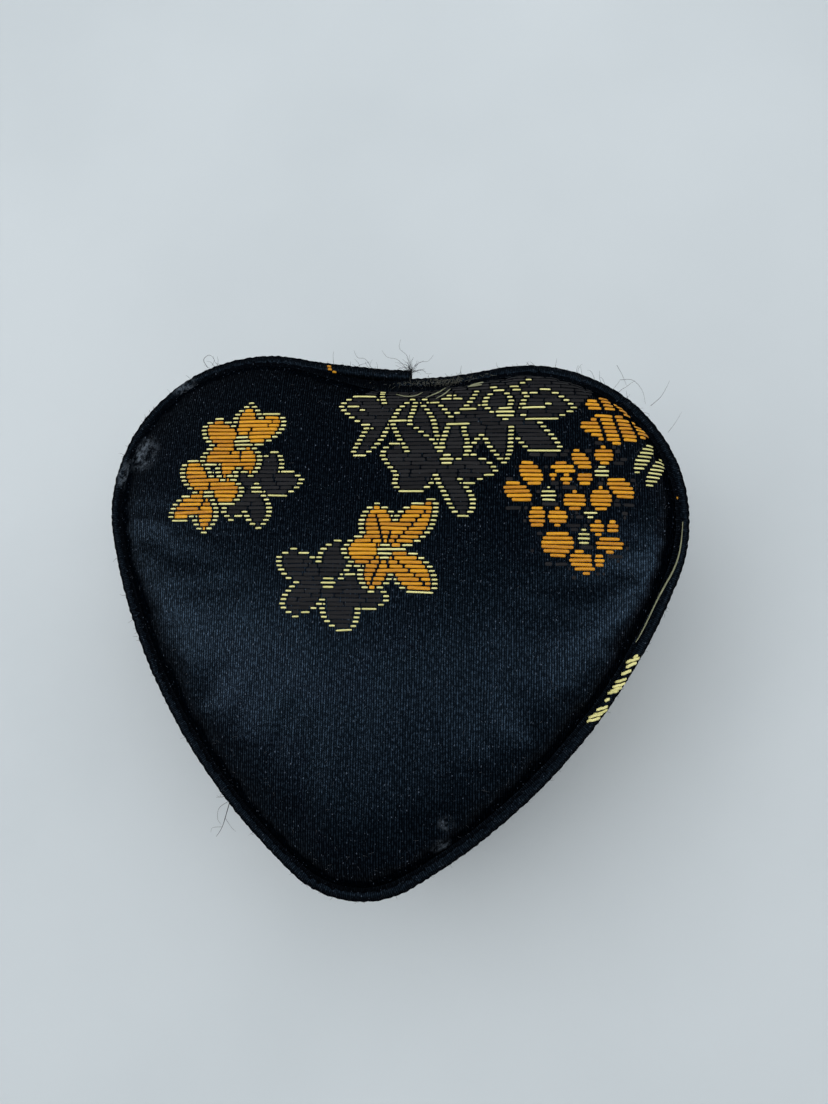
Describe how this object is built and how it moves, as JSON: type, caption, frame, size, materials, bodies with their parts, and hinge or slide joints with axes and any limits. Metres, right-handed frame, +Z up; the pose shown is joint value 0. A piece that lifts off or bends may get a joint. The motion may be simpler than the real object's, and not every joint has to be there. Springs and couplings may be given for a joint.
{
  "type": "heart-shaped trinket box",
  "caption": "Heart-shaped fabric-covered trinket box with a padded satin brocade lid, piped edges, a cloth hinge at the cleft and a mirror inside the lid.",
  "frame": {"origin": "on the underside, at the middle of the heart's outline over the welts", "axes": "+X across the heart to its right, +Y from the front tip to the cleft at the back, +Z up"},
  "size_m": [0.1, 0.0908, 0.046],
  "materials": {
    "brocade": "navy-black satin brocade with orange, pale green and charcoal flowers",
    "welt_satin": "navy-black satin cut on the bias over cord",
    "lining_satin": "deep red satin",
    "cotton_cord": "twisted cotton",
    "wadding": "soft polyester wadding and foam",
    "greyboard": "matt grey board",
    "underside_felt": "black felt paper",
    "trim_cord": "twisted gold-coloured cord",
    "mirror": "plain silvered glass"
  },
  "bodies": {
    "base": {"underside_felt": "underside_felt", "bottom_board": "greyboard", "base_wall_board": "greyboard", "base_wall_cover": "brocade", "base_welt_cord": "cotton_cord", "base_welt_cover": "welt_satin", "neck_board": "greyboard", "neck_lining": "lining_satin", "floor_card": "greyboard", "floor_foam": "wadding", "floor_satin": "lining_satin", "hinge_cloth": "brocade", "hinge_lining": "lining_satin"},
    "lid": {"lid_wall_board": "greyboard", "lid_wall_cover": "brocade", "lid_wall_lining": "lining_satin", "lid_top_board": "greyboard", "lid_welt_cord": "cotton_cord", "lid_welt_cover": "welt_satin", "lid_wadding": "wadding", "lid_top_cover": "brocade", "ceiling_card": "greyboard", "ceiling_satin": "lining_satin", "lid_mirror": "mirror", "mirror_trim": "trim_cord"}
  },
  "joints": [
    {"name": "lid_hinge", "type": "hinge", "parent": "base", "child": "lid", "pos_m": [0, 0.044, 0.027], "axis": [-1, 0, 0], "range_deg": [0, 110], "deforming": ["hinge_cloth", "hinge_lining"]}
  ]
}
